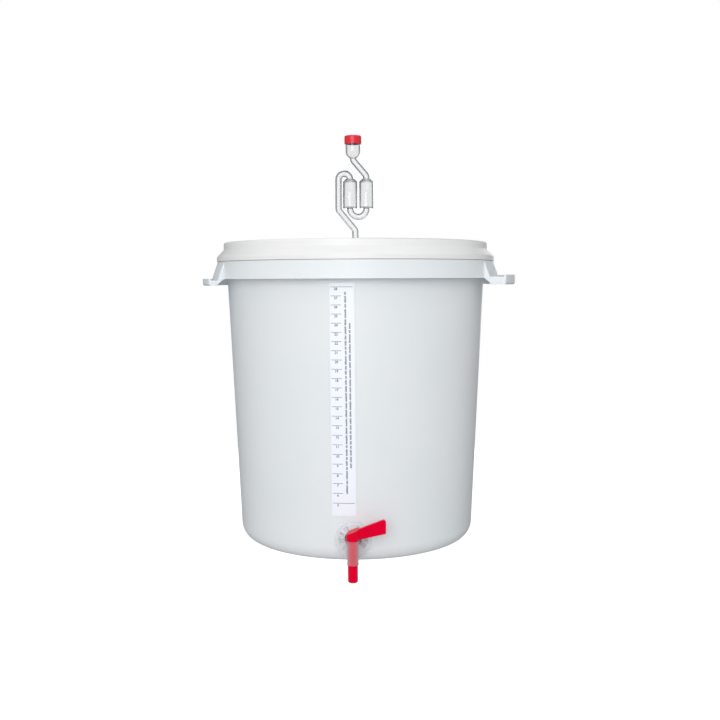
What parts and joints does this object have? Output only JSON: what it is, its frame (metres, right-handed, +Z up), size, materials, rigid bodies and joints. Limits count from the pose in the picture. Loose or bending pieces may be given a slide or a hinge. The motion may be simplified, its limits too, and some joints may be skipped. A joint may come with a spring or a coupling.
{
  "type": "plastic fermenting bucket",
  "caption": "Tapered white bucket with a snap lid, a clear S-shaped airlock in a grommet, a litre scale, two side grips and a red-levered plug tap near the floor.",
  "frame": {"origin": "centre of the bucket's standing ring, at the level that it stands on", "axes": "+Z up along the bucket's axis; -Y towards the tap; +X and -X towards the side grips"},
  "size_m": [0.42, 0.3753, 0.5581],
  "materials": {
    "bucket": "translucent milk-white moulded polyethylene, satin",
    "lid": "white moulded polyethylene, satin",
    "seal": "soft white foam rubber",
    "grommet": "natural grey-white rubber",
    "airlock": "clear moulded polystyrene, glossy",
    "cap": "red moulded plastic, semi-gloss",
    "tap_body": "natural translucent polypropylene, semi-gloss",
    "tap_plug": "red moulded plastic, semi-gloss",
    "washer": "soft white silicone rubber",
    "nut": "natural translucent polypropylene",
    "label": "white printed film with grey litre marks"
  },
  "bodies": {
    "root": {"bucket": "bucket", "scale_label": "label", "tap_body": "tap_body", "tap_outer_washer": "washer", "tap_inner_washer": "washer", "tap_nut": "nut"},
    "lid": {"lid": "lid", "lid_seal": "seal", "lid_grommet": "grommet"},
    "airlock": {"airlock_front_half": "airlock", "airlock_rear_half": "airlock"},
    "airlock_cap": {"airlock_cap": "cap"},
    "tap_plug": {"tap_plug": "tap_plug"}
  },
  "joints": [
    {"name": "lid_lift", "type": "slide", "parent": "root", "child": "lid", "axis": [0, 0, 1], "range_m": [0, 0.12]},
    {"name": "airlock_pull", "type": "slide", "parent": "lid", "child": "airlock", "axis": [0, 0, 1], "range_m": [0, 0.06]},
    {"name": "cap_pull", "type": "slide", "parent": "airlock", "child": "airlock_cap", "axis": [0, 0, 1], "range_m": [0, 0.03]},
    {"name": "tap_turn", "type": "hinge", "parent": "root", "child": "tap_plug", "pos_m": [0, -0.18022, 0.0309], "axis": [0, -0.0453, 0.999], "range_deg": [-180, 0]}
  ]
}
